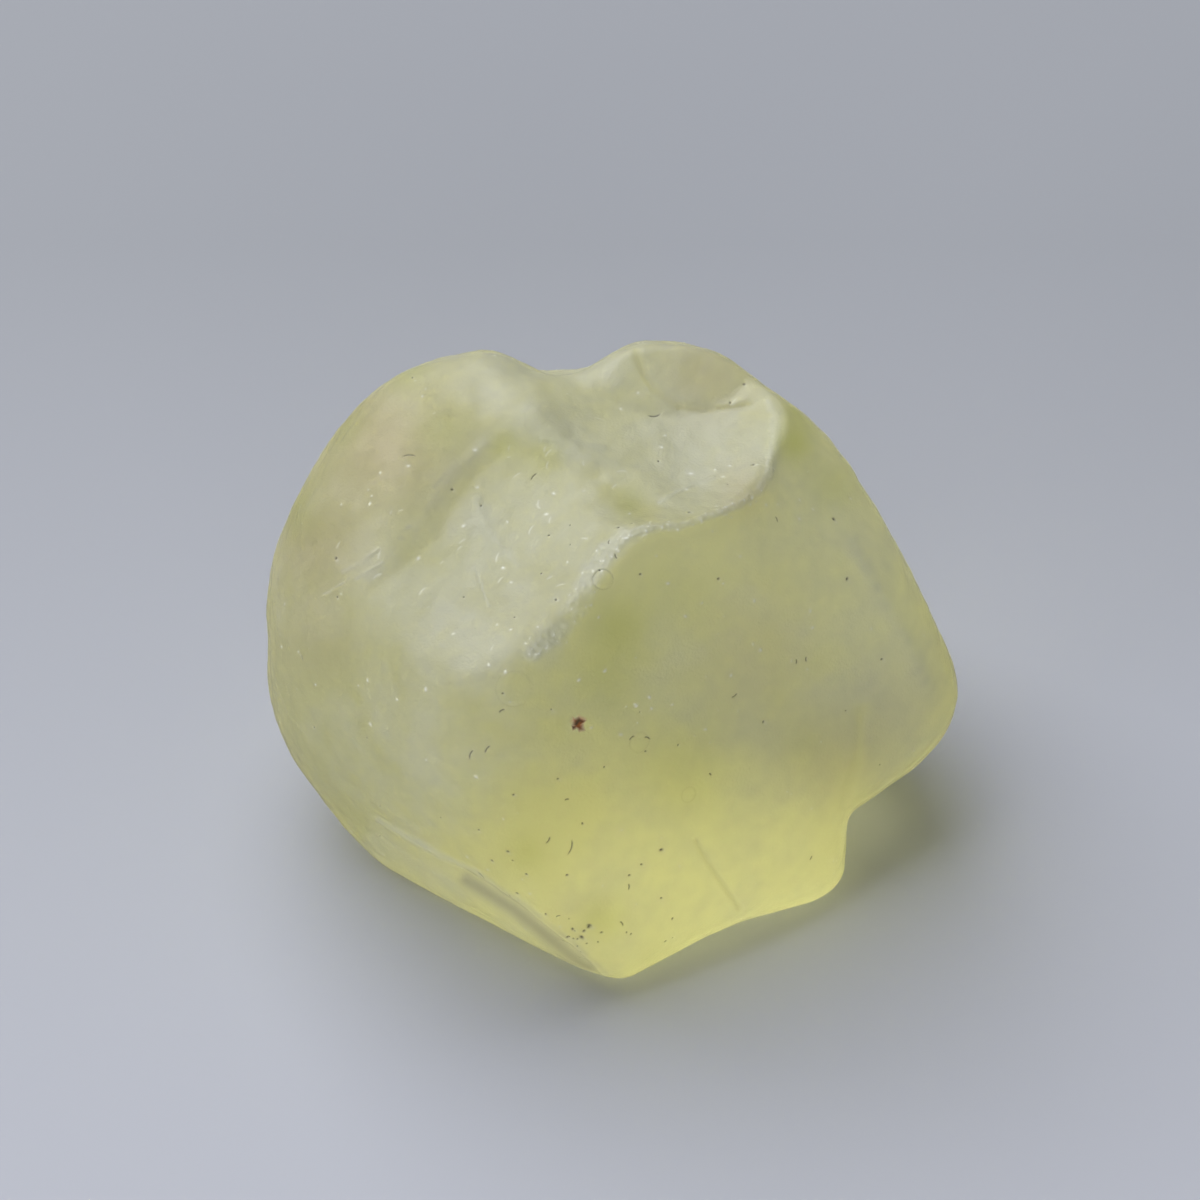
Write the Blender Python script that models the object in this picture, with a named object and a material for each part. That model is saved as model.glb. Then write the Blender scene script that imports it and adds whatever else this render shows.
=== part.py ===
"""A pebble of Libyan desert glass: a natural piece of silica glass, worn smooth by wind and sand.

One solid. The body is an egg cut by broad natural faces, with a pointed toe and a foot lobe low on the
front, a chipped scar and a trough on the top, and a flat patch underneath that it rests on.
Front is -Y, up is +Z. Lengths in the tables are millimetres and become metres when the mesh is written.
"""
import math

import bmesh
import bpy
import numpy as np

NAME = "desert_glass"
TITLE = "Libyan desert glass"
MM = 0.001

# ---- mesh ----
SUBDIVISIONS = 7
TRIANGLES = 9400
SHARP_ANGLE = math.radians(50.0)

# ---- the egg the faces are cut from ----
HEART = (0.0, 1.0, 9.5)
EGG_CENTRE = (-0.3, 1.0, 9.5)
EGG_RADII = (16.4, 14.8, 15.2)

# A face is (azimuth, elevation, distance from the heart, blend). Azimuth 0 is the front, 90 the right.
BODY_FACES = {
    "top": (-20.0, 82.4, 11.5, 1.5),
    "shoulder": (-62.0, 42.0, 13.3, 2.5),
    "left": (-92.0, 6.0, 15.6, 2.0),
    "left_upper": (-107.0, 27.0, 15.5, 2.0),
    "right_flank": (103.0, 22.0, 13.3, 1.0),
    "right_upper": (115.0, 33.0, 13.3, 1.5),
    "top_right": (135.0, 46.0, 13.4, 1.5),
    "top_back": (-175.0, 54.0, 13.1, 1.0),
    "back_left_upper": (-138.0, 46.0, 15.3, 2.0),
    "lower_left": (-54.0, -28.0, 14.7, 1.0),
    "bevel": (-36.0, -24.0, 13.1, 0.4),
    "keel": (-34.0, -38.0, 13.5, 0.6),
    "under_left": (-84.0, -42.0, 15.2, 1.5),
    "under_right": (43.0, -35.0, 12.2, 1.2),
    "back": (175.0, 5.0, 12.5, 3.0),
    "under_back": (168.0, -38.0, 11.2, 2.5),
    "under_back_left": (-132.0, -36.0, 13.2, 2.0),
    "under_side": (100.0, -38.0, 15.8, 1.5),
}
# The toe and the foot are two lobes low on the front, side by side.
TOE_BALL = ((0.0, -1.0, 7.0), 13.5)
TOE_FACES = {
    "bevel": (-36.0, -24.0, 12.7, 0.4),
    "keel": (-34.0, -38.0, 13.5, 0.6),
    "tip_right": (39.0, -36.0, 13.4, 0.6),
    "right": (90.0, 0.0, 6.0, 1.0),
    "behind": (180.0, 10.0, 1.0, 2.0),
    "left": (-80.0, 10.0, 9.0, 2.0),
}
FOOT_BALL = ((5.0, -1.0, 6.0), 11.0)
FOOT_FACES = {
    "bottom": (16.0, -43.0, 13.3, 1.5),
    "right": (85.0, 0.0, 10.9, 1.5),
    "left": (-80.0, -10.0, 0.0, 1.0),
    "behind": (180.0, 10.0, 1.0, 2.0),
}
LOBE_BLEND = 0.5
# The two broad faces across the whole front are very slightly domed.
FRONT_FACES = {
    "front_right": (30.0, 19.0, 8.9, 2.0),
    "front_left": (-45.0, 6.0, 13.2, 4.0),
}
FRONT_DOME_RADIUS = 90.0

# ---- hollows ----
# Each hollow stops at a steep facet at its back, its wall.
# A wall is (a point on it, (azimuth, elevation) it faces, blend with the floor, blend with the surface).
# The scar is a shallow dish chipped out behind the crest.
SCAR_BOTTOM = (3.6, 0.5, 19.2)
SCAR_RADIUS = 14.0
SCAR_WALL = ((3.8, 4.0, 19.5), (10.0, 54.0), 0.3, 0.6)
# The trough is a wide rod laid down the left of the top: the start and end of its axis, and its radius.
TROUGH = ((-6.8, -6.0, 28.3), (-14.5, -13.9, 23.8), 11.2)
TROUGH_WALL = ((-6.64, -0.77, 18.52), (16.0, 48.0), 0.5, 1.2)
# Grooves are (start, end, radius, blend): a rounded rod laid in the surface.
GROOVES = {
    "dip": ((-3.6, -0.8, 21.3), (0.2, -1.6, 21.4), 1.8, 1.2),
    "notch": ((-2.2, 3.0, 25.55), (-2.2, 12.0, 19.0), 2.4, 1.5),
}
# Scallops are (azimuth, elevation, centre distance from the heart, radius, blend): broad shallow dishes.
SCALLOPS = {
    "back_left": (-150.0, 6.0, 33.2, 20.0, 2.5),
    "back_right": (146.0, 26.0, 30.2, 17.0, 2.5),
    "side": (78.0, -4.0, 38.0, 21.6, 1.5),
    "shoulder": (73.0, 46.0, 21.3, 10.0, 2.0),
}
BASE_BLEND = 0.4
FLAT_TOLERANCE = 0.02

# ---- search along each ray from the heart ----
RAY_LENGTH = 24.0
RAY_STEPS = 96
BISECTIONS = 30

# ---- look ----
GLASS_COLOUR = (0.72, 0.74, 0.42, 1.0)
GLASS_ROUGHNESS = 0.35
GLASS_IOR = 1.46
GLASS_TRANSMISSION = 0.8


def facing(azimuth, elevation):
    """Unit vector of a compass direction on the pebble, in degrees."""
    a, e = math.radians(azimuth), math.radians(elevation)
    return np.array([math.sin(a) * math.cos(e), -math.cos(a) * math.cos(e), math.sin(e)])


def rounded_cut(a, b, blend):
    """The larger of two distances, rounded over where they meet."""
    h = np.maximum(blend - np.abs(a - b), 0.0) / blend
    return np.maximum(a, b) + h * h * blend / 4.0


def rounded_join(a, b, blend):
    """The smaller of two distances, filleted where they meet."""
    return -rounded_cut(-a, -b, blend)


def ball(points, centre, radius):
    return np.linalg.norm(points - np.array(centre), axis=1) - radius


def egg(points):
    q = (points - np.array(EGG_CENTRE)) / np.array(EGG_RADII)
    length = np.linalg.norm(q, axis=1)
    slope = np.linalg.norm(q / np.array(EGG_RADII), axis=1) + 1e-9
    return length * (length - 1.0) / slope


def rod(points, start, end, radius):
    a, b = np.array(start), np.array(end)
    t = np.clip((points - a) @ (b - a) / ((b - a) @ (b - a)), 0.0, 1.0)
    return np.linalg.norm(points - a - t[:, None] * (b - a), axis=1) - radius


def cut_faces(points, distance, faces):
    """Flat natural faces, each a plane at its distance from the heart."""
    for azimuth, elevation, reach, blend in faces.values():
        plane = (points - np.array(HEART)) @ facing(azimuth, elevation) - reach
        distance = rounded_cut(distance, plane, blend)
    return distance


def cut_domed_faces(points, distance, faces, dome):
    """Broad faces that bulge a little: large balls that touch the plane from inside."""
    for azimuth, elevation, reach, blend in faces.values():
        centre = np.array(HEART) + (reach - dome) * facing(azimuth, elevation)
        distance = rounded_cut(distance, ball(points, centre, dome), blend)
    return distance


def cut_hollow(distance, points, hollow, wall):
    """Takes out a hollow that stops at a steep facet."""
    point, direction, floor_blend, blend = wall
    facet = (points - np.array(point)) @ facing(*direction)
    return rounded_cut(distance, -rounded_cut(hollow, -facet, floor_blend), blend)


def pebble(points):
    """Distance from each point to the surface of the pebble, negative inside."""
    distance = cut_faces(points, egg(points), BODY_FACES)
    for lobe_ball, lobe_faces in ((TOE_BALL, TOE_FACES), (FOOT_BALL, FOOT_FACES)):
        lobe = cut_faces(points, ball(points, *lobe_ball), lobe_faces)
        distance = rounded_join(distance, lobe, LOBE_BLEND)
    distance = cut_domed_faces(points, distance, FRONT_FACES, FRONT_DOME_RADIUS)
    for azimuth, elevation, reach, radius, blend in SCALLOPS.values():
        centre = np.array(HEART) + reach * facing(azimuth, elevation)
        distance = rounded_cut(distance, -ball(points, centre, radius), blend)
    scar_centre = np.array(SCAR_BOTTOM) + (0.0, 0.0, SCAR_RADIUS)
    distance = cut_hollow(distance, points, ball(points, scar_centre, SCAR_RADIUS), SCAR_WALL)
    distance = cut_hollow(distance, points, rod(points, *TROUGH), TROUGH_WALL)
    for start, end, radius, blend in GROOVES.values():
        distance = rounded_cut(distance, -rod(points, start, end, radius), blend)
    return rounded_cut(distance, -points[:, 2], BASE_BLEND)


def surface_points(directions):
    """Where the ray along each direction from the heart leaves the pebble."""
    heart = np.array(HEART)
    inner = np.zeros(len(directions))
    outer = np.full(len(directions), RAY_LENGTH)
    crossed = np.zeros(len(directions), dtype=bool)
    for step in range(1, RAY_STEPS + 1):
        reach = RAY_LENGTH * step / RAY_STEPS
        outside = pebble(heart + directions * reach) > 0.0
        outer = np.where(outside & ~crossed, reach, outer)
        crossed |= outside
        inner = np.where(crossed, inner, reach)
    for _ in range(BISECTIONS):
        middle = (inner + outer) / 2.0
        outside = pebble(heart + directions * middle[:, None]) > 0.0
        outer = np.where(outside, middle, outer)
        inner = np.where(outside, inner, middle)
    return heart + directions * inner[:, None]


def read_points(mesh):
    flat = np.empty(len(mesh.vertices) * 3)
    mesh.vertices.foreach_get("co", flat)
    return flat.reshape(-1, 3)


def write_points(mesh, points):
    mesh.vertices.foreach_set("co", points.ravel())
    mesh.update()


def level_base(points, tolerance):
    """Puts every point that lies on the resting patch at exactly z = 0."""
    points[:, 2] = np.where(points[:, 2] < tolerance, 0.0, points[:, 2])
    return points


def glass_material():
    material = bpy.data.materials.new(NAME)
    material.use_nodes = True
    shader = material.node_tree.nodes["Principled BSDF"]
    shader.inputs["Base Color"].default_value = GLASS_COLOUR
    shader.inputs["Roughness"].default_value = GLASS_ROUGHNESS
    shader.inputs["IOR"].default_value = GLASS_IOR
    shader.inputs["Transmission Weight"].default_value = GLASS_TRANSMISSION
    material.diffuse_color = GLASS_COLOUR
    return material


def clear_scene():
    for thing in list(bpy.data.objects):
        bpy.data.objects.remove(thing, do_unlink=True)


def build():
    clear_scene()
    home = bpy.data.collections.new(TITLE)
    bpy.context.scene.collection.children.link(home)

    bm = bmesh.new()
    bmesh.ops.create_icosphere(bm, subdivisions=SUBDIVISIONS, radius=1.0)
    mesh = bpy.data.meshes.new(NAME)
    bm.to_mesh(mesh)
    bm.free()

    directions = read_points(mesh)
    directions /= np.linalg.norm(directions, axis=1, keepdims=True)
    write_points(mesh, level_base(surface_points(directions), FLAT_TOLERANCE) * MM)

    stone = bpy.data.objects.new(NAME, mesh)
    home.objects.link(stone)
    thin = stone.modifiers.new("thin", "DECIMATE")
    thin.ratio = TRIANGLES / len(mesh.polygons)
    graph = bpy.context.evaluated_depsgraph_get()
    light = bpy.data.meshes.new_from_object(stone.evaluated_get(graph), depsgraph=graph)
    stone.modifiers.clear()
    stone.data = light
    bpy.data.meshes.remove(mesh)
    light.name = NAME

    points = level_base(read_points(light), FLAT_TOLERANCE * MM)
    low, high = points.min(axis=0), points.max(axis=0)
    points -= np.array([(low[0] + high[0]) / 2.0, (low[1] + high[1]) / 2.0, low[2]])
    write_points(light, points)
    light.shade_smooth()
    light.set_sharp_from_angle(angle=SHARP_ANGLE)
    light.materials.append(glass_material())


build()
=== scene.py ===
"""Looks for a pebble of Libyan desert glass: its fine worn skin, its cloudy glass and the sheet under it."""
import math

import bmesh
import bpy
import numpy as np
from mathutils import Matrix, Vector, noise


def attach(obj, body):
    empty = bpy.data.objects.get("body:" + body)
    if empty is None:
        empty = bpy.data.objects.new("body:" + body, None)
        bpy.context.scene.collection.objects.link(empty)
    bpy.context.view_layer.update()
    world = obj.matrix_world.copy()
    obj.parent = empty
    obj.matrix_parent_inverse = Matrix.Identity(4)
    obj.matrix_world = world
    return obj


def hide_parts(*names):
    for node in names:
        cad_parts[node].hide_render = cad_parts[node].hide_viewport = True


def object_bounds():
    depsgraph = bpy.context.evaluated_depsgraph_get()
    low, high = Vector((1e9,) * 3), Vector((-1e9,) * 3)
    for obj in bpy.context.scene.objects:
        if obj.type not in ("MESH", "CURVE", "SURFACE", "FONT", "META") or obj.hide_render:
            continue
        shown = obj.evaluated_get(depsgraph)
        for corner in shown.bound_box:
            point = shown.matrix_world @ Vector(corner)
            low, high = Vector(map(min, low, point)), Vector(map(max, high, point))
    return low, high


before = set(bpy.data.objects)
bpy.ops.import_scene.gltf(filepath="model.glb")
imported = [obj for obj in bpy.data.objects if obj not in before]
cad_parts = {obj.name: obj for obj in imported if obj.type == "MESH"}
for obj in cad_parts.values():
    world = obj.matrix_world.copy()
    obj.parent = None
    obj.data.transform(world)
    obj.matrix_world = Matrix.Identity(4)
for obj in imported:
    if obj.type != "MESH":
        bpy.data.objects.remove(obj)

CAD_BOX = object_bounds()
MM = 0.001
NODE = "desert_glass"

# ---------------------------------------------------------------- camera and stage, in millimetres
# The picture is square, so the camera needs no image size.
CAMERA_TARGET = (-0.54, -0.99, 12.6)
CAMERA_ELEVATION = 40.0
CAMERA_DISTANCE = 150.0
CAMERA_LENS = 104.0
SENSOR = 36.0
# The nearest and the farthest that the camera sees, in metres.
CAMERA_REACH = (0.001, 10.0)
SHEET_HALF = 400.0
SHEET_GAP = 0.03
SHEET_FAR = (0.40, 0.42, 0.47, 1.0)
SHEET_NEAR = (0.59, 0.613, 0.70, 1.0)
# Painted light on the sheet: it is painted darker far off and lighter near, a painted falloff of light,
# going from its far tint to its near tint between these distances behind the middle.
SHEET_SHADE = (45.0, -35.0)
SHEET_ROUGHNESS = 0.9
# A lamp is its place, its size and its power in watts.
LAMPS = {
    "behind": ((-330.0, 390.0, 770.0), 1050.0, 10.3),
    "front": ((60.0, -760.0, 90.0), 400.0, 1.7),
    "left": ((-600.0, -480.0, 110.0), 350.0, 1.8),
}
SKY_COLOUR = (0.95, 0.97, 1.0)
SKY_STRENGTH = 0.08

# ---------------------------------------------------------------- the pebble's faces, in millimetres
# A face is (azimuth, elevation, distance from the heart, blend). Azimuth 0 is the front, 90 the right.
HEART = (0.0, 1.0, 9.5)
EGG_CENTRE = (-0.3, 1.0, 9.5)
EGG_RADII = (16.4, 14.8, 15.2)
BODY_FACES = {
    "top": (-20.0, 82.4, 11.5, 1.5),
    "shoulder": (-62.0, 42.0, 13.3, 2.5),
    "left": (-92.0, 6.0, 15.6, 2.0),
    "left_upper": (-107.0, 27.0, 15.5, 2.0),
    "right_flank": (103.0, 22.0, 13.3, 1.0),
    "right_upper": (115.0, 33.0, 13.3, 1.5),
    "top_right": (135.0, 46.0, 13.4, 1.5),
    "top_back": (-175.0, 54.0, 13.1, 1.0),
    "back_left_upper": (-138.0, 46.0, 15.3, 2.0),
    "lower_left": (-54.0, -28.0, 14.7, 1.0),
    "bevel": (-36.0, -24.0, 13.1, 0.4),
    "keel": (-34.0, -38.0, 13.5, 0.6),
    "under_left": (-84.0, -42.0, 15.2, 1.5),
    "under_right": (43.0, -35.0, 12.2, 1.2),
    "back": (175.0, 5.0, 12.5, 3.0),
    "under_back": (168.0, -38.0, 11.2, 2.5),
    "under_back_left": (-132.0, -36.0, 13.2, 2.0),
    "under_side": (100.0, -38.0, 15.8, 1.5),
}
TOE_BALL = ((0.0, -1.0, 7.0), 13.5)
TOE_FACES = {
    "bevel": (-36.0, -24.0, 12.7, 0.4),
    "keel": (-34.0, -38.0, 13.5, 0.6),
    "tip_right": (39.0, -36.0, 13.4, 0.6),
    "right": (90.0, 0.0, 6.0, 1.0),
    "behind": (180.0, 10.0, 1.0, 2.0),
    "left": (-80.0, 10.0, 9.0, 2.0),
}
FOOT_BALL = ((5.0, -1.0, 6.0), 11.0)
FOOT_FACES = {
    "bottom": (16.0, -43.0, 13.3, 1.5),
    "right": (85.0, 0.0, 10.9, 1.5),
    "left": (-80.0, -10.0, 0.0, 1.0),
    "behind": (180.0, 10.0, 1.0, 2.0),
}
LOBE_BLEND = 0.5
FRONT_FACES = {
    "front_right": (30.0, 19.0, 8.9, 2.0),
    "front_left": (-45.0, 6.0, 13.2, 4.0),
}
FRONT_DOME_RADIUS = 90.0
SCAR_BOTTOM = (3.6, 0.5, 19.2)
SCAR_RADIUS = 14.0
SCAR_WALL = ((3.8, 4.0, 19.5), (10.0, 54.0), 0.1, 0.25)
TROUGH = ((-6.8, -6.0, 28.3), (-14.5, -13.9, 23.8), 11.2)
TROUGH_WALL = ((-6.64, -0.77, 18.52), (16.0, 48.0), 0.2, 1.0)
GROOVES = {
    "dip": ((-3.6, -0.8, 21.3), (0.2, -1.6, 21.4), 1.8, 1.2),
    "notch": ((-2.2, 3.0, 25.55), (-2.2, 12.0, 19.0), 2.4, 1.5),
}
SCALLOPS = {
    "back_left": (-150.0, 6.0, 33.2, 20.0, 2.5),
    "back_right": (146.0, 26.0, 30.2, 17.0, 2.5),
    "side": (78.0, -4.0, 38.0, 21.6, 1.5),
    "shoulder": (73.0, 46.0, 21.3, 10.0, 2.0),
}
BASE_BLEND = 0.4

SUBDIVISIONS = 8
TRIANGLES = 190000
MARCHES = 60
MARCH_TOLERANCE = 0.0005
SLOPE_STEP = 0.02
TINY = 1e-9

# ---------------------------------------------------------------- worn detail, in millimetres
# Relief is (lump size, height), from broad undulation down to fine pocks. It is calmer on the front faces
# and low down, and fades out at the base.
RELIEF = ((4.5, 0.14), (1.9, 0.09), (0.8, 0.045), (0.35, 0.018))
FRONT_CALM = 0.3
LOW_CALM = 0.5
LOW_REACH = 7.0
LEVEL_FADE = 0.6
FRONT_DEPTH = 0.35
CREASE_WIDTH = 0.12
CREASE_DEPTH = 0.06
# Marks are placed by where they lie in the camera's picture: millimetres right of and above its middle.
# Each is (right, up, size, turn). A crescent bulges towards its turn, in degrees from the right.
PICTURE_MIDDLE = (-0.5, 0.0, 12.6)
# A line of sight starts clear of the pebble and walks towards it in cautious steps.
PICTURE_CLEAR = 25.0
SIGHT_STEPS = 120
SIGHT_CAUTION = 0.7
PITS = (
    (5.2, 1.0, 0.07, 0), (10.8, 1.0, 0.08, 60), (12.3, -2.5, 0.06, 0), (10.2, 3.6, 0.09, 150),
    (6.3, 9.5, 0.06, 0), (5.7, 8.7, 0.07, 90), (6.7, 5.9, 0.08, 0), (3.9, 3.9, 0.08, 0),
    (1.4, 3.5, 0.05, 0), (0.8, 3.3, 0.06, 0), (1.8, 1.2, 0.06, 0), (-1.9, 0.1, 0.08, 120),
    (-4.2, -4.0, 0.05, 0), (2.0, -6.5, 0.05, 0), (-1.8, -7.7, 0.05, 0), (2.7, -10.8, 0.09, 0),
    (-4.0, -10.9, 0.08, 0), (-3.8, -11.3, 0.05, 0), (-4.7, -11.3, 0.07, 0), (-3.2, -11.9, 0.06, 0),
    (-1.4, -11.9, 0.06, 0), (-3.6, -12.7, 0.07, 0), (1.3, -11.9, 0.06, 0), (2.7, -12.9, 0.05, 0),
    (0.1, -14.4, 0.06, 0), (2.9, -14.8, 0.06, 0), (-5.3, -10.0, 0.05, 0), (-11.5, 1.9, 0.10, 0),
    (-11.4, 0.2, 0.06, 0), (-6.4, 4.9, 0.07, 0), (-2.2, 2.9, 0.06, 0), (0.0, 1.4, 0.05, 0),
)
CRESCENTS = (
    (2.4, 8.1, 0.55, -80), (8.6, -2.6, 0.22, 0), (9.0, -2.5, 0.22, 180), (7.7, 3.6, 0.25, 30),
    (0.4, 2.6, 0.25, 180), (1.4, -5.9, 0.30, 120), (2.1, -5.9, 0.30, 60), (-5.6, -6.6, 0.45, 160),
    (-4.9, -6.4, 0.40, 150), (-1.4, -8.6, 0.20, 90), (-1.2, -10.7, 0.70, -15), (-2.2, -10.4, 0.35, -30),
    (-3.9, -12.8, 0.20, 180), (-1.8, -13.7, 0.25, 120), (1.3, -12.4, 0.30, 0), (1.0, -14.0, 0.30, 30),
    (-5.1, -11.9, 0.45, 45), (-8.3, 6.4, 0.60, 90), (5.9, -4.1, 0.30, -60), (0.7, 2.0, 0.25, 200),
)
RINGS = ((-3.7, -3.8, 0.75, 0), (3.9, -8.4, 0.35, 0), (1.75, -6.1, 0.45, 0))
BUBBLES = ((0.15, 1.0, 0.42, 0),)
# Flecks are bright white spots, partly white chips and partly painted glints.
FLECKS_AND_GLINTS = (
    (7.2, 4.2, 0.09, 0), (4.0, 5.6, 0.10, 0), (1.7, 9.1, 0.07, 0), (3.0, 0.8, 0.08, 0),
    (5.4, 0.8, 0.06, 0), (8.7, 3.6, 0.07, 0), (0.2, 10.8, 0.12, 0), (-5.4, 6.6, 0.09, 0),
    (-5.3, 5.0, 0.08, 0), (6.9, 5.9, 0.06, 0), (3.8, 4.9, 0.08, 0), (5.4, 5.4, 0.08, 0),
    (-8.3, 5.9, 0.08, 0), (-9.9, 4.6, 0.06, 0),
)
# A line is its points in the picture, its half width, its depth, how much milkier it is and how much darker
# it is painted. Along the valley, dip, pocket, facet's side and foot, bevel, lobe fold and beside the crest,
# the darkening and the clearer glass are painted shade. The milkier valley edge, scar edge, bevel edge and
# streaks are painted highlights and sheen.
LINES = {
    # Painted shade: the valley's drop, darker and clearer.
    "valley": (
        ((-4.3, 6.5), (-5.4, 5.5), (-6.2, 4.5), (-7.1, 2.8), (-8.7, 1.5), (-9.9, 0.6)),
        0.30, 0.08, -0.25, 0.05),
    # Painted sheen along the valley's edge.
    "valley_edge": (((-5.0, 6.9), (-6.4, 5.6), (-7.3, 4.2), (-7.9, 3.2)), 0.25, -0.06, 0.3, 0.0),
    # Painted shade in the dip.
    "dip": (((-4.2, 6.9), (-2.7, 6.4), (-1.6, 5.8), (-0.1, 5.5)), 0.40, 0.10, -0.35, 0.05),
    "bowl_rim": (((-5.3, 4.4), (-5.0, 3.3), (-4.3, 2.3), (-3.6, 1.6)), 0.28, -0.07, 0.3, 0.0),
    # Painted shade in the pocket by the crest.
    "pocket": (((0.4, 4.8), (1.2, 4.3), (2.3, 3.75)), 0.42, 0.06, -0.6, 0.12),
    # Painted shade along the side and the foot of the steep facet.
    "facet_side": (((1.6, 10.9), (2.0, 9.8), (2.4, 9.2), (3.5, 8.5)), 0.14, 0.10, -0.4, 0.12),
    "facet_foot": (((3.5, 8.45), (4.5, 8.3), (5.4, 8.45), (6.6, 8.6)), 0.12, 0.12, -0.5, 0.15),
    # Painted highlight along the scar's edge.
    "scar_edge": (((7.3, 8.7), (7.75, 8.2), (7.75, 6.6), (7.4, 5.4)), 0.12, -0.05, 0.5, 0.0),
    # Painted highlight along the bevel's edge, then painted shade on the bevel below it.
    "bevel_edge": (
        ((-9.6, -9.5), (-7.7, -10.6), (-5.3, -11.8), (-3.1, -13.3), (-1.0, -15.0), (0.3, -16.2)),
        0.14, -0.09, 0.6, 0.0),
    "bevel": (((-5.8, -12.1), (-3.7, -13.4), (-1.5, -15.2), (-0.5, -16.0)), 0.36, 0.12, -1.2, 0.50),
    "bevel_side": (((-9.8, -10.4), (-7.9, -11.6), (-6.0, -12.7)), 0.45, 0.10, 0.4, 0.05),
    # Painted shade along the lobe's fold.
    "lobe_fold": (
        ((10.6, -9.0), (10.8, -8.2), (11.3, -6.9), (11.4, -5.8), (11.5, -4.6)), 0.25, 0.08, -0.5, 0.04),
    "right_band": (((11.0, 2.6), (12.2, 0.4), (13.3, -1.5), (14.2, -3.4)), 0.40, -0.06, 0.4, 0.0),
    # Darker along the crease.
    "crease": (
        ((4.2, -10.4), (4.7, -11.3), (5.1, -11.9), (5.6, -12.6), (6.1, -13.4)), 0.11, 0.12, -0.6, 0.22),
    # Painted shade beside the crest.
    "crest_shade": (
        ((7.4, 4.5), (5.0, 3.1), (3.4, 2.6), (1.9, 2.3), (1.2, 1.6), (0.5, 0.4), (-0.1, -0.8), (-1.2, -2.2)),
        0.40, 0.0, -0.5, 0.06),
    "bowl_crack": (((-5.3, 1.3), (-5.0, 0.3), (-4.8, -0.2)), 0.05, 0.03, 0.6, 0.0),
    # Painted glints along the streaks.
    "streak_1": (((-11.2, 1.3), (-10.1, 1.9), (-9.6, 2.3)), 0.07, -0.04, 1.0, 0.0),
    "streak_2": (((-10.6, 1.0), (-9.4, 1.7)), 0.06, -0.04, 1.0, 0.0),
    "streak_3": (((-12.0, 0.3), (-10.9, 1.0)), 0.05, -0.03, 0.8, 0.0),
    "streak_4": (((-8.7, 2.8), (-8.2, 3.4)), 0.05, -0.03, 0.8, 0.0),
    "streak_5": (((-7.2, 5.0), (-6.2, 6.1)), 0.07, -0.03, 0.8, 0.0),
    "scar_streak": (((2.6, 4.3), (3.8, 5.0), (5.0, 5.4)), 0.07, -0.03, 0.8, 0.0),
    "plateau_streak": (((-2.5, 7.1), (-1.2, 6.9), (0.2, 6.7)), 0.12, -0.03, 0.6, 0.0),
}
# The crest is its points in the picture, each with the band's half width there. Its frost, partly frosted
# glass and partly a painted highlight along the crest's lip, is an even part and a grainy part.
CREST = (
    (7.4, 8.7, 0.12), (7.6, 8.0, 0.12), (7.5, 6.6, 0.12), (7.3, 5.5, 0.14), (6.9, 4.8, 0.18),
    (6.1, 4.2, 0.18), (4.7, 3.7, 0.16), (3.5, 3.3, 0.16), (2.0, 3.2, 0.18), (1.1, 2.9, 0.26),
    (0.3, 2.2, 0.40), (-0.3, 1.3, 0.48), (-0.7, 0.0, 0.55), (-1.5, -1.0, 0.58), (-2.4, -1.7, 0.50),
    (-2.9, -2.2, 0.30),
)
CREST_HEIGHT = 0.06
CREST_GRAIN = 0.035
GRAIN_SIZE = 0.2
FROST_AND_HIGHLIGHT = (0.02, 0.28)
# Bright flecks on the crest, painted glints: how many, their sizes, the part of the crest that they lie on
# and how far they stray over the band.
CREST_GLINT_FLECKS = 60
CREST_FLECK_SIZES = (0.03, 0.07)
CREST_FLECK_PART = (0.25, 1.0)
CREST_FLECK_STRAY = 0.8
# What is placed in the picture fades out where the surface turns edge-on to the camera.
SEEN_FADE = 4.0
# Bright scratches lie over the top, fine grooves whitened to paint the glints along them: the middle and
# half size of their patch in the picture, how many there are, their turn and how far it varies, in degrees.
# Those outside the oval round the picture's middle, ON_STONE in half size, are left out.
SCRATCHES = ((-3.5, 5.0), (4.5, 3.0), 44, 130.0, 30.0)
SCRATCH_SIZES = (0.15, 0.5)
ON_STONE = (13.0, 10.0)
# The inclusion is (right, up, radius), rusty with a black middle.
INCLUSION = (-0.95, -5.3, 0.32)
RUST_SHARP = 5.0
RUST_RAGGED = 0.7
RUST_RIM = 0.22
# The tip is pitted where it was knocked: (right, up) of its middle, its spread and how many pits.
KNOCKED = ((-1.0, -14.6), (0.8, 0.45), 26)
KNOCKED_SIZES = (0.04, 0.12)
# Scattered all over: how many of each kind, their smallest size and their largest.
SCATTERED = {"pit": (70, 0.03, 0.06), "crescent": (16, 0.15, 0.45), "fleck_and_glint": (260, 0.04, 0.09)}
FULL_TURN = 360
SEED = 29
# How deep each kind of mark is, how much it darkens the glass and how much it whitens it. The whitening of
# flecks and scratches is painted glints.
KINDS = {
    "pit": (0.05, 1.0, 0.0),
    "crescent": (0.04, 0.9, 0.0),
    "ring": (0.015, 0.12, 0.0),
    "bubble": (0.04, 0.30, 0.0),
    "fleck_and_glint": (-0.02, 0.0, 1.0),
    "scratch_and_glint": (0.01, 0.0, 0.6),
}
ARC_WIDTH = 0.03
ARC_SPAN = 0.6
ARC_FADE = 0.3
SPOT_ASPECT = 0.7
# Painted highlight: the rim of a pit is whitened a little way right of and below it, where it would catch
# the light.
PIT_RIM_GLINT = (1.5, -1.3, 0.5)
MARK_REACH = 3.0
MARK_MARGIN = 0.06
# The mesh is split finer round each mark: (distance, cuts), in turn.
REFINED = ((0.5, 1), (0.28, 1))

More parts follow.
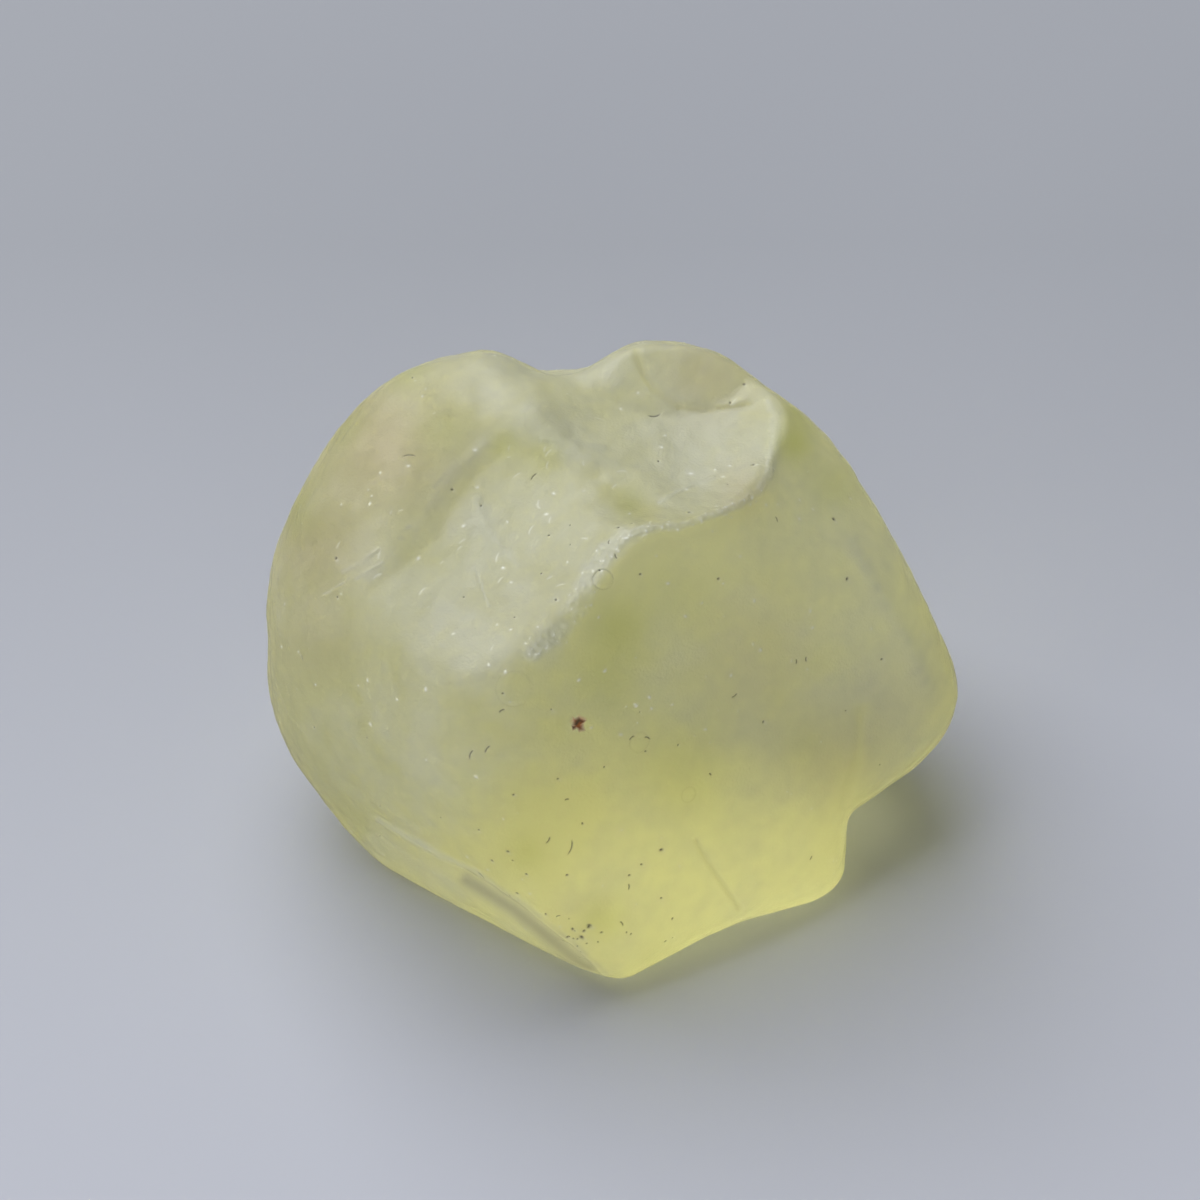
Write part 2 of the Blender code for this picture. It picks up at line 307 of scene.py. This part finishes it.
# ---------------------------------------------------------------- glass
GLASS_IOR = 1.46
ABSORPTION_COLOUR = (0.95, 0.93, 0.56, 1.0)
ABSORPTION_DENSITY = 60.0
CLEAR_TINT = (0.98, 0.97, 0.73, 1.0)
# The milky tint also paints the sheen on faces turned up.
MILKY_AND_SHEEN_TINT = (0.69, 0.70, 0.60, 1.0)
WARM_TINT = (0.70, 0.62, 0.47, 1.0)
# The green tint is partly the glass's own tone and partly painted shade.
GREEN_AND_SHADE_TINT = (0.64, 0.67, 0.28, 1.0)
# The dark tint is dust in the marks and painted shade along the shaded lines.
DUST_AND_SHADE_TINT = (0.06, 0.045, 0.018, 1.0)
RUST_TINT = (0.55, 0.13, 0.015, 1.0)
# The fleck tint paints glints and highlights in near white.
FLECK_AND_GLINT_TINT = (0.97, 0.98, 0.90, 1.0)
# How much light passes through clear, milky, dark, flecked and rusty glass. Milky glass is partly painted
# sheen, dark glass partly painted shade and flecked glass partly painted glints.
CLEARNESS = 0.9
MILKY_CLEARNESS = 0.52
SPOILT_CLEARNESS = 0.04
# Milk starts and is full at these upward slopes: faces turned up are made milkier, partly frost and partly a
# painted sheen from the light above. Clouds are (lump size, strength).
MILK_AND_SHEEN_UP = (0.25, 0.85)
MILK_AND_SHEEN_ABOVE = 0.6
MILK_FRONT = 0.15
MILK_AND_HIGHLIGHT_CREST = 0.55
CLOUDS = ((5.0, 0.25), (1.6, 0.28), (0.5, 0.22))
# Patches are (right, up, radius, strength): milky where pale, clearer where the strength is negative. The
# pale patches on the top partly paint its bluish-white sheen.
MILK_AND_SHEEN_PATCHES = (
    (5.2, 7.6, 2.2, 0.4), (3.9, 5.6, 1.5, 0.3), (-1.7, 7.4, 1.5, 0.5), (-4.3, 9.7, 1.6, 0.3),
    (0.2, 10.4, 1.2, 0.4), (-6.5, 1.3, 2.5, 0.1), (-10.0, 1.5, 1.5, 0.4), (-2.4, -1.7, 1.0, 0.3),
    (-5.2, -2.2, 1.8, 0.3), (-8.0, -4.2, 2.0, 0.2), (-7.2, -8.3, 2.4, 0.45), (0.6, -1.2, 1.3, -0.4),
    (-2.5, 6.3, 0.8, -0.3), (12.6, -4.6, 2.4, 0.5), (7.8, -6.6, 3.0, 0.3), (-5.2, 3.3, 1.0, 0.2),
    (-6.9, 8.0, 1.2, -0.3),
)
# Green patches are partly the glass's greener tone and partly painted shade, along the top outline and on
# the front beside the crest and the scar.
GREEN_AND_SHADE_PATCHES = (
    (0.8, -1.0, 1.4, 0.7), (0.2, -3.4, 1.6, 0.5), (3.2, 0.4, 1.6, 0.3), (8.5, 6.9, 0.9, 0.9),
    (8.8, 8.5, 0.8, 0.8), (1.3, 4.25, 0.7, 0.6), (3.5, -7.3, 2.0, 0.35), (-3.2, -10.9, 0.9, 0.45),
    (0.0, -13.8, 0.9, 0.45), (-2.4, 6.4, 0.8, 0.4), (-4.1, 6.9, 0.7, 0.5), (10.2, 5.0, 1.2, 0.5),
    (-11.5, 7.8, 1.2, 0.6), (-8.5, 10.3, 1.2, 0.6), (-13.5, 4.0, 1.2, 0.5), (-6.8, 7.5, 1.2, 0.4),
    (8.9, -6.3, 1.0, 0.25),
)
WARM_PATCHES = (
    (4.6, 9.9, 1.8, 0.45), (-9.5, 6.9, 3.0, 1.0), (6.3, 4.8, 1.2, 0.5), (12.6, -4.6, 2.4, 0.25),
    (6.9, -2.2, 3.0, 0.4), (-12.5, 2.5, 2.2, 0.75), (-12.3, -1.5, 2.0, 0.4), (10.0, -7.0, 2.0, 0.4),
    (-1.0, -13.9, 1.5, 0.3),
)
# Roughness is (at its smoothest, at its roughest) for clear glass and for milky glass.
CLEAR_ROUGHNESS = (0.64, 0.80)
MILKY_ROUGHNESS = (0.36, 0.54)
SPOT_SIZE = 1.2
SPOT_DETAIL = 4.0
SKIN_LUMP = 0.12
SKIN_DETAIL = 3.0
SKIN_BUMP = 0.02


def facing(azimuth, elevation):
    a, e = math.radians(azimuth), math.radians(elevation)
    return np.array([math.sin(a) * math.cos(e), -math.cos(a) * math.cos(e), math.sin(e)])


def rounded_cut(a, b, blend):
    """The larger of two distances, rounded over where they meet."""
    h = np.maximum(blend - np.abs(a - b), 0.0) / blend
    return np.maximum(a, b) + h * h * blend / 4.0


def rounded_join(a, b, blend):
    return -rounded_cut(-a, -b, blend)


def ball(points, centre, radius):
    return np.linalg.norm(points - np.array(centre), axis=1) - radius


def egg(points):
    q = (points - np.array(EGG_CENTRE)) / np.array(EGG_RADII)
    length = np.linalg.norm(q, axis=1)
    steepness = np.linalg.norm(q / np.array(EGG_RADII), axis=1) + TINY
    return length * (length - 1.0) / steepness


def rod(points, start, end, radius):
    a, b = np.array(start), np.array(end)
    t = np.clip((points - a) @ (b - a) / ((b - a) @ (b - a)), 0.0, 1.0)
    return np.linalg.norm(points - a - t[:, None] * (b - a), axis=1) - radius


def cut_faces(points, distance, faces):
    for azimuth, elevation, reach, blend in faces.values():
        plane = (points - np.array(HEART)) @ facing(azimuth, elevation) - reach
        distance = rounded_cut(distance, plane, blend)
    return distance


def cut_domed_faces(points, distance, faces, dome):
    for azimuth, elevation, reach, blend in faces.values():
        centre = np.array(HEART) + (reach - dome) * facing(azimuth, elevation)
        distance = rounded_cut(distance, ball(points, centre, dome), blend)
    return distance


def cut_hollow(distance, points, hollow, wall):
    """Takes out a hollow that stops at a steep facet."""
    point, direction, floor_blend, blend = wall
    facet = (points - np.array(point)) @ facing(*direction)
    return rounded_cut(distance, -rounded_cut(hollow, -facet, floor_blend), blend)


def scar(points):
    """Distance to the ball that hollows the scar, negative inside it."""
    return ball(points, np.array(SCAR_BOTTOM) + (0.0, 0.0, SCAR_RADIUS), SCAR_RADIUS)


def pebble(points):
    """Distance from each point to the surface of the pebble, negative inside."""
    distance = cut_faces(points, egg(points), BODY_FACES)
    for lobe_ball, lobe_faces in ((TOE_BALL, TOE_FACES), (FOOT_BALL, FOOT_FACES)):
        lobe = cut_faces(points, ball(points, *lobe_ball), lobe_faces)
        distance = rounded_join(distance, lobe, LOBE_BLEND)
    distance = cut_domed_faces(points, distance, FRONT_FACES, FRONT_DOME_RADIUS)
    for azimuth, elevation, reach, radius, blend in SCALLOPS.values():
        centre = np.array(HEART) + reach * facing(azimuth, elevation)
        distance = rounded_cut(distance, -ball(points, centre, radius), blend)
    distance = cut_hollow(distance, points, scar(points), SCAR_WALL)
    distance = cut_hollow(distance, points, rod(points, *TROUGH), TROUGH_WALL)
    for start, end, radius, blend in GROOVES.values():
        distance = rounded_cut(distance, -rod(points, start, end, radius), blend)
    return rounded_cut(distance, -points[:, 2], BASE_BLEND)


def surface_points(directions):
    """Walks out from the heart along each direction until it meets the surface."""
    heart = np.array(HEART)
    reach = np.zeros(len(directions))
    moving = np.arange(len(directions))
    for _ in range(MARCHES):
        step = -pebble(heart + directions[moving] * reach[moving, None])
        reach[moving] += step
        moving = moving[np.abs(step) > MARCH_TOLERANCE]
        if not len(moving):
            break
    return heart + directions * reach[:, None]


def slope(points):
    """The way that the surface faces at each point."""
    steps = SLOPE_STEP * np.eye(3)
    rise = np.stack([pebble(points + step) - pebble(points - step) for step in steps], axis=1)
    return unit(rise)


def unit(vectors):
    return vectors / np.maximum(np.linalg.norm(vectors, axis=1, keepdims=True), TINY)


def picture_axes():
    """The camera's right, up and backward directions."""
    back = facing(0.0, CAMERA_ELEVATION)
    right = np.array([1.0, 0.0, 0.0])
    return right, np.cross(back, right), back


def seen_at(places):
    """The surface points that the camera sees at these places in its picture."""
    right, up, back = picture_axes()
    middle = np.array(PICTURE_MIDDLE)
    eye = middle + back * CAMERA_DISTANCE
    rays = unit(np.array([middle + r * right + u * up - eye for r, u in places]))
    travelled = np.full(len(rays), CAMERA_DISTANCE - PICTURE_CLEAR)
    for _ in range(SIGHT_STEPS):
        travelled += SIGHT_CAUTION * pebble(eye + rays * travelled[:, None])
    return eye + rays * travelled[:, None]


def grain(points, size):
    """Smooth noise between about -1 and 1, with lumps of that size."""
    return np.array([noise.noise(Vector(point)) for point in points / size])


def front(points):
    """1 on the two broad front faces, 0 away from them."""
    gaps = []
    for azimuth, elevation, reach, _ in FRONT_FACES.values():
        centre = np.array(HEART) + (reach - FRONT_DOME_RADIUS) * facing(azimuth, elevation)
        gaps.append(np.abs(ball(points, centre, FRONT_DOME_RADIUS)))
    return np.exp(-((np.minimum(*gaps) / FRONT_DEPTH) ** 2))


class Skin:
    """Points on the surface, the way each faces and where the camera's picture shows it."""

    def __init__(self, points):
        right, up, back = picture_axes()
        offset = points - np.array(PICTURE_MIDDLE)
        nearer = CAMERA_DISTANCE / (CAMERA_DISTANCE - offset @ back)
        self.points = points
        self.out = slope(points)
        self.places = np.stack([offset @ right * nearer, offset @ up * nearer], axis=1)
        self.seen = np.clip(SEEN_FADE * (self.out @ back), 0.0, 1.0)
        self.front = front(points)
        self.crest = self.seen * band(self.places, CREST)


def band(places, rows):
    """1 inside a band drawn in the picture as points with a half width each."""
    inside = np.zeros(len(places))
    for (*start, narrow), (*end, wide) in zip(rows[:-1], rows[1:]):
        gap = rod(places, start, end, 0.0) / (0.5 * (narrow + wide))
        inside = np.maximum(inside, np.exp(-(gap**4)))
    return inside


def beside_line(skin, line, width):
    """1 on a line drawn in the picture, fading to 0 beside it and where the surface turns away."""
    gaps = [rod(skin.places, start, end, 0.0) for start, end in zip(line[:-1], line[1:])]
    return skin.seen * np.exp(-((np.min(gaps, axis=0) / width) ** 2))


def patches(skin, table):
    """The strengths of the patches added up at each point."""
    total = np.zeros(len(skin.points))
    for right, up, radius, strength in table:
        gap = ((skin.places - np.array((right, up))) ** 2).sum(axis=1)
        total += strength * np.exp(-gap / radius**2)
    return total * skin.seen


def creases(points):
    """1 along the foot of the scar's steep facet."""
    floor = scar(points)
    facet = (points - np.array(SCAR_WALL[0])) @ facing(*SCAR_WALL[1])
    return np.exp(-(floor * floor + facet * facet) / (CREASE_WIDTH * CREASE_WIDTH))


class Marks:
    """All the small marks: where each is, which way its surface faces and what it looks like."""

    def __init__(self):
        self.rows = []

    def add(self, kind, points, facings, sizes, turns):
        self.rows += [(kind, *row) for row in zip(points, facings, sizes, turns)]

    def add_seen(self, kind, table):
        points = seen_at([row[:2] for row in table])
        self.add(kind, points, slope(points), [row[2] for row in table], [row[3] for row in table])

    def add_scattered(self, kind, count, draw, low, high):
        points = surface_points(unit(draw.normal(size=(count, 3))))
        sizes = draw.uniform(low, high, count)
        self.add(kind, points, slope(points), sizes, draw.uniform(0, FULL_TURN, count))

    def centres(self):
        return np.array([row[1] for row in self.rows])

    def at(self, points):
        """How deep, how dark and how bright the marks make each point."""
        deep, dark, bright = np.zeros((3, len(points)))
        for kind, centre, normal, size, turn in self.rows:
            offset = points - centre
            near = np.flatnonzero((offset * offset).sum(axis=1) < (MARK_REACH * size + MARK_MARGIN) ** 2)
            if not len(near):
                continue
            across = level_with(normal)
            u = offset[near] @ across
            v = offset[near] @ np.cross(normal, across)
            shape = mark_shape(kind, u, v, size, math.radians(turn))
            depth, dust_and_shade, frost_and_glint = KINDS[kind]
            if kind == "pit":
                # Painted highlight on the pit's rim.
                right, up, glint = PIT_RIM_GLINT
                rim = mark_shape(kind, u - right * size, v - up * size, size, 0.0)
                bright[near] = np.maximum(bright[near], glint * rim)
            deep[near] += depth * shape
            dark[near] = np.maximum(dark[near], dust_and_shade * shape)
            bright[near] = np.maximum(bright[near], frost_and_glint * shape)
        return deep, dark, bright


def level_with(normal):
    """The camera's right, laid flat on a surface that faces that way."""
    right = picture_axes()[0]
    flat = right - (right @ normal) * normal
    return flat / np.linalg.norm(flat)


def mark_shape(kind, u, v, size, turn):
    """1 in the middle of a mark's line or spot, fading to 0 beside it."""
    if kind in ("pit", "fleck_and_glint"):
        along = u * math.cos(turn) + v * math.sin(turn)
        beside = v * math.cos(turn) - u * math.sin(turn)
        return np.exp(-(along / size) ** 2 - (beside / (size * SPOT_ASPECT)) ** 2)
    if kind in ("crescent", "scratch_and_glint"):
        u = u + size * math.cos(turn)
        v = v + size * math.sin(turn)
    line = np.exp(-(((np.hypot(u, v) - size) / ARC_WIDTH) ** 2))
    if kind in ("ring", "bubble"):
        return line
    swing = np.abs((np.arctan2(v, u) - turn + math.pi) % math.tau - math.pi)
    return line * np.clip((ARC_SPAN - swing) / ARC_FADE, 0.0, 1.0)


def draw_scratches(marks, draw):
    middle, spread, count, turn, swing = SCRATCHES
    places = np.array(middle) + draw.normal(size=(count, 2)) * np.array(spread)
    points = seen_at(places[np.hypot(*(places / ON_STONE).T) < 1.0])
    turns = turn + draw.normal(size=len(points)) * swing
    # The scratches are whitened as painted glints.
    marks.add("scratch_and_glint", points, slope(points), draw.uniform(*SCRATCH_SIZES, len(points)), turns)


def draw_near_crest(marks, draw):
    """Bright flecks along the crest, painted glints, most of them on its broad left part."""
    along = draw.uniform(*CREST_FLECK_PART, CREST_GLINT_FLECKS) * (len(CREST) - 1)
    rows = np.array(CREST)
    steps = np.arange(len(CREST))
    middle = np.array([np.interp(along, steps, rows[:, axis]) for axis in range(3)])
    places = middle[:2] + draw.normal(size=(2, CREST_GLINT_FLECKS)) * middle[2] * CREST_FLECK_STRAY
    points = seen_at(places.T)
    sizes = draw.uniform(*CREST_FLECK_SIZES, CREST_GLINT_FLECKS)
    marks.add("fleck_and_glint", points, slope(points), sizes, draw.uniform(0, FULL_TURN, CREST_GLINT_FLECKS))


def all_marks():
    marks = Marks()
    placed = {"pit": PITS, "crescent": CRESCENTS, "ring": RINGS, "bubble": BUBBLES, "fleck_and_glint": FLECKS_AND_GLINTS}
    for kind, table in placed.items():
        marks.add_seen(kind, table)
    draw = np.random.default_rng(SEED)
    (right, up), (wide, high), count = KNOCKED
    places = [(right + wide * draw.normal(), up + high * draw.normal()) for _ in range(count)]
    points = seen_at(places)
    draw_near_crest(marks, draw)
    draw_scratches(marks, draw)
    kinds = draw.permutation(["pit", "crescent"] * (count // 2))
    for kind in ("pit", "crescent"):
        chosen = points[kinds == kind]
        sizes = draw.uniform(*KNOCKED_SIZES, len(chosen))
        marks.add(kind, chosen, slope(chosen), sizes, draw.uniform(0, FULL_TURN, len(chosen)))
    for kind, (count, low, high) in SCATTERED.items():
        marks.add_scattered(kind, count, draw, low, high)
    return marks


def relief(skin):
    """How far the worn surface stands out from the plain form, apart from the marks."""
    lumps = sum(height * grain(skin.points, size) for size, height in RELIEF)
    lumps *= 1.0 - (1.0 - FRONT_CALM) * skin.front
    lumps *= 1.0 - LOW_CALM * np.exp(-((skin.points[:, 2] / LOW_REACH) ** 2))
    gritty = grain(skin.points, GRAIN_SIZE)
    lumps += skin.crest * (CREST_HEIGHT + CREST_GRAIN * gritty)
    lumps -= creases(skin.points) * CREASE_DEPTH
    for line, width, depth, _, _ in LINES.values():
        lumps -= depth * beside_line(skin, line, width)
    return lumps * np.clip(skin.points[:, 2] / LEVEL_FADE, 0.0, 1.0)


def read_points(mesh):
    flat = np.empty(len(mesh.vertices) * 3)
    mesh.vertices.foreach_get("co", flat)
    return flat.reshape(-1, 3)


def write_points(mesh, points):
    mesh.vertices.foreach_set("co", points.ravel())
    mesh.update()


def fitted_to_solid(points):
    """Sets the fine surface in the solid's own box, on the same resting plane."""
    low, high = points.min(axis=0), points.max(axis=0)
    box_low, box_high = np.array(CAD_BOX[0]), np.array(CAD_BOX[1])
    scale = min(1.0, float(np.min((box_high - box_low) / (high - low))))
    middle = (low + high) / 2.0
    box_middle = (box_low + box_high) / 2.0
    points = (points - middle) * scale + box_middle
    points[:, 2] += box_low[2] - points[:, 2].min()
    return points


def refined_sphere(spots):
    """An even sphere, split finer round each spot."""
    bm = bmesh.new()
    bmesh.ops.create_icosphere(bm, subdivisions=SUBDIVISIONS, radius=1.0)
    heart = np.array(HEART)
    towards = unit(spots - heart)
    away = np.linalg.norm(spots - heart, axis=1)
    for radius, cuts in REFINED:
        near = close_directions(bm, towards, radius / away)
        edges = [e for e in bm.edges if near[e.verts[0].index] or near[e.verts[1].index]]
        bmesh.ops.subdivide_edges(bm, edges=edges, cuts=cuts)
        bmesh.ops.triangulate(bm, faces=[f for f in bm.faces if len(f.verts) > 3])
    mesh = bpy.data.meshes.new("fine")
    bm.to_mesh(mesh)
    bm.free()
    return mesh


def close_directions(bm, towards, angles):
    bm.verts.index_update()
    directions = unit(np.array([v.co for v in bm.verts]))
    near = np.zeros(len(directions), dtype=bool)
    for direction, angle in zip(towards, angles):
        near |= directions @ direction > math.cos(angle)
    return near


def thinned(stone, triangles):
    """The same mesh with fewer triangles, kept where the surface bends most."""
    thin = stone.modifiers.new("thin", "DECIMATE")
    thin.ratio = triangles / len(stone.data.polygons)
    graph = bpy.context.evaluated_depsgraph_get()
    light = bpy.data.meshes.new_from_object(stone.evaluated_get(graph), depsgraph=graph)
    stone.modifiers.clear()
    dense = stone.data
    stone.data = light
    bpy.data.meshes.remove(dense)
    return light


def paint(mesh, name, values):
    values = np.clip(values, 0.0, 1.0)
    mesh.attributes.new(name, "FLOAT", "POINT").data.foreach_set("value", values.astype(np.float32))


def milk_and_sheen(skin):
    """How cloudy the glass is at each point: most where it faces up and along the crest, which partly paints
    the sheen of the top and the highlight on the crest.
    """
    turned_up = np.clip((skin.out[:, 2] - MILK_AND_SHEEN_UP[0]) / (MILK_AND_SHEEN_UP[1] - MILK_AND_SHEEN_UP[0]), 0.0, 1.0)
    # Faces turned up get milkier: partly frost, partly painted sheen.
    level = MILK_FRONT + (turned_up * MILK_AND_SHEEN_ABOVE - MILK_FRONT) * (1.0 - skin.front)
    level += sum(strength * grain(skin.points, size) for size, strength in CLOUDS)
    # The crest's milk partly paints a highlight along its lip.
    level += skin.crest * MILK_AND_HIGHLIGHT_CREST + patches(skin, MILK_AND_SHEEN_PATCHES)
    for line, width, _, strength, _ in LINES.values():
        level += strength * beside_line(skin, line, width)
    return level


def rust(points):
    """How rusty the small inclusion and its black middle are, with ragged edges."""
    right, up, radius = INCLUSION
    gap = np.linalg.norm(points - seen_at([(right, up)]), axis=1) / radius
    ragged = 1.0 - gap + RUST_RAGGED * grain(points, radius / 2.0)
    return RUST_SHARP * ragged, RUST_SHARP * (ragged - RUST_RIM)


def paint_skin(mesh, marks):
    """Stores on each point how dark, bright, milky, rusty, warm and green the glass is there: dark is dust
    and painted shade, bright is partly painted glints and highlights, milky partly painted sheen and green
    partly painted shade.
    """
    skin = Skin(read_points(mesh))
    _, dusty_and_shaded, bright = marks.at(skin.points)
    for line, width, _, _, strength in LINES.values():
        dusty_and_shaded = np.maximum(dusty_and_shaded, strength * beside_line(skin, line, width))
    rusty, black = rust(skin.points)
    # Painted highlight along the crest, with its frost.
    frost_and_glint = skin.crest * (FROST_AND_HIGHLIGHT[0] + FROST_AND_HIGHLIGHT[1] * grain(skin.points, GRAIN_SIZE))
    # Dark: dust in the marks, and painted shade along the shaded lines.
    paint(mesh, "dust_and_shade", np.maximum(dusty_and_shaded, black))
    # Bright: painted glints and highlights, with white chips and frost.
    paint(mesh, "fleck_and_glint", np.maximum(bright, frost_and_glint))
    # Milk: cloudy glass, partly painted sheen on the top and painted highlight along the crest.
    paint(mesh, "milk_and_sheen", milk_and_sheen(skin))
    paint(mesh, "rust", rusty)
    paint(mesh, "warm", patches(skin, WARM_PATCHES))
    # Green: partly the glass's tone, partly painted shade.
    paint(mesh, "green_and_shade", patches(skin, GREEN_AND_SHADE_PATCHES))


def pebble_mesh():
    marks = all_marks()
    rusty_spot = seen_at([INCLUSION[:2]])
    mesh = refined_sphere(np.vstack([marks.centres(), rusty_spot]))
    skin = Skin(surface_points(unit(read_points(mesh))))
    deep, _, _ = marks.at(skin.points)
    points = skin.points + skin.out * (relief(skin) - deep)[:, None]
    points[:, 2] = np.maximum(points[:, 2], 0.0)
    write_points(mesh, points)
    stone = bpy.data.objects.new("desert_glass_fine", mesh)
    bpy.context.scene.collection.objects.link(stone)
    light = thinned(stone, TRIANGLES)
    paint_skin(light, marks)
    write_points(light, fitted_to_solid(read_points(light) * MM))
    light.shade_smooth()
    return stone


def attribute(tree, name):
    node = tree.nodes.new("ShaderNodeAttribute")
    node.attribute_name = name
    return node.outputs["Fac"]


def mixed(tree, kind, amount, low, high):
    """Blends two colours or two numbers by an amount from 0 to 1."""
    node = tree.nodes.new("ShaderNodeMix")
    node.data_type = kind
    sockets = [s for s in node.inputs if s.enabled]
    for socket, value in zip(sockets, (amount, low, high)):
        if isinstance(value, bpy.types.NodeSocket):
            tree.links.new(value, socket)
        else:
            socket.default_value = value
    return next(s for s in node.outputs if s.enabled)


def lumps(tree, size, detail):
    """Noise over the object, with lumps of that size in millimetres."""
    place = tree.nodes.new("ShaderNodeTexCoord")
    node = tree.nodes.new("ShaderNodeTexNoise")
    node.inputs["Scale"].default_value = 1.0 / (size * MM)
    node.inputs["Detail"].default_value = detail
    tree.links.new(place.outputs["Object"], node.inputs["Vector"])
    return node.outputs["Fac"]


def glass_material():
    material = bpy.data.materials.new("cloudy desert glass")
    material.use_nodes = True
    tree = material.node_tree
    shader = tree.nodes["Principled BSDF"]
    output = tree.nodes["Material Output"]
    names = ("dust_and_shade", "fleck_and_glint", "rust", "milk_and_sheen", "warm", "green_and_shade")
    dust_and_shade, fleck_and_glint, rusty, milky_and_sheen, warm, green_and_shade = (attribute(tree, name) for name in names)

    # Milk partly paints a sheen.
    colour = mixed(tree, "RGBA", milky_and_sheen, CLEAR_TINT, MILKY_AND_SHEEN_TINT)
    colour = mixed(tree, "RGBA", warm, colour, WARM_TINT)
    # Green partly paints shade.
    colour = mixed(tree, "RGBA", green_and_shade, colour, GREEN_AND_SHADE_TINT)
    clearness = mixed(tree, "FLOAT", milky_and_sheen, CLEARNESS, MILKY_CLEARNESS)
    # Flecks paint glints and highlights; dust and the shaded lines darken the glass as painted shade.
    for amount, tint in ((fleck_and_glint, FLECK_AND_GLINT_TINT), (rusty, RUST_TINT), (dust_and_shade, DUST_AND_SHADE_TINT)):
        colour = mixed(tree, "RGBA", amount, colour, tint)
        clearness = mixed(tree, "FLOAT", amount, clearness, SPOILT_CLEARNESS)
    tree.links.new(colour, shader.inputs["Base Color"])
    tree.links.new(clearness, shader.inputs["Transmission Weight"])

    spots = lumps(tree, SPOT_SIZE, SPOT_DETAIL)
    clear_skin = mixed(tree, "FLOAT", spots, *CLEAR_ROUGHNESS)
    milky_skin = mixed(tree, "FLOAT", spots, *MILKY_ROUGHNESS)
    worn = mixed(tree, "FLOAT", milky_and_sheen, clear_skin, milky_skin)
    tree.links.new(worn, shader.inputs["Roughness"])
    bump = tree.nodes.new("ShaderNodeBump")
    bump.inputs["Distance"].default_value = SKIN_BUMP * MM
    tree.links.new(lumps(tree, SKIN_LUMP, SKIN_DETAIL), bump.inputs["Height"])
    tree.links.new(bump.outputs["Normal"], shader.inputs["Normal"])

    shader.inputs["IOR"].default_value = GLASS_IOR
    volume = tree.nodes.new("ShaderNodeVolumeAbsorption")
    volume.inputs["Color"].default_value = ABSORPTION_COLOUR
    volume.inputs["Density"].default_value = ABSORPTION_DENSITY
    tree.links.new(volume.outputs["Volume"], output.inputs["Volume"])
    return material


def sheet():
    mesh = bpy.data.meshes.new("sheet")
    bm = bmesh.new()
    bmesh.ops.create_grid(bm, x_segments=1, y_segments=1, size=SHEET_HALF * MM)
    bm.to_mesh(mesh)
    bm.free()
    floor = bpy.data.objects.new("sheet", mesh)
    bpy.context.scene.collection.objects.link(floor)
    material = bpy.data.materials.new("pale sheet")
    material.use_nodes = True
    tree = material.node_tree
    shader = tree.nodes["Principled BSDF"]
    place = tree.nodes.new("ShaderNodeTexCoord")
    axes = tree.nodes.new("ShaderNodeSeparateXYZ")
    nearness = tree.nodes.new("ShaderNodeMapRange")
    nearness.inputs["From Min"].default_value = SHEET_SHADE[0] * MM
    nearness.inputs["From Max"].default_value = SHEET_SHADE[1] * MM
    tree.links.new(place.outputs["Object"], axes.inputs["Vector"])
    tree.links.new(axes.outputs["Y"], nearness.inputs["Value"])
    # Painted falloff of light: the sheet darker far off and lighter near.
    painted_falloff = mixed(tree, "RGBA", nearness.outputs["Result"], SHEET_FAR, SHEET_NEAR)
    tree.links.new(painted_falloff, shader.inputs["Base Color"])
    shader.inputs["Roughness"].default_value = SHEET_ROUGHNESS
    floor.data.materials.append(material)
    floor.location.z = -SHEET_GAP * MM


def look_at(thing, place, target):
    thing.location = place
    thing.rotation_euler = (target - place).to_track_quat("-Z", "Y").to_euler()


def camera():
    data = bpy.data.cameras.new("camera")
    data.lens = CAMERA_LENS
    data.sensor_width = SENSOR
    data.clip_start, data.clip_end = CAMERA_REACH
    thing = bpy.data.objects.new("camera", data)
    bpy.context.scene.collection.objects.link(thing)
    target = Vector(CAMERA_TARGET) * MM
    back = Vector(facing(0.0, CAMERA_ELEVATION))
    look_at(thing, target + back * CAMERA_DISTANCE * MM, target)
    bpy.context.scene.camera = thing


def softbox(name, place, size, power):
    data = bpy.data.lights.new(name, "AREA")
    data.shape = "SQUARE"
    data.size = size * MM
    data.energy = power
    thing = bpy.data.objects.new(name, data)
    bpy.context.scene.collection.objects.link(thing)
    look_at(thing, Vector(place) * MM, Vector((0.0, 0.0, 0.0)))


def lights():
    for name, (place, size, power) in LAMPS.items():
        softbox(name, place, size, power)
    world = bpy.data.worlds.new("sky")
    bpy.context.scene.world = world
    world.use_nodes = True
    sky = world.node_tree.nodes["Background"]
    sky.inputs["Color"].default_value = SKY_COLOUR + (1.0,)
    sky.inputs["Strength"].default_value = SKY_STRENGTH


stone = pebble_mesh()
stone.data.materials.append(glass_material())
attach(stone, "root")
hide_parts(NODE)
sheet()
camera()
lights()
bpy.context.scene.view_settings.view_transform = "Standard"
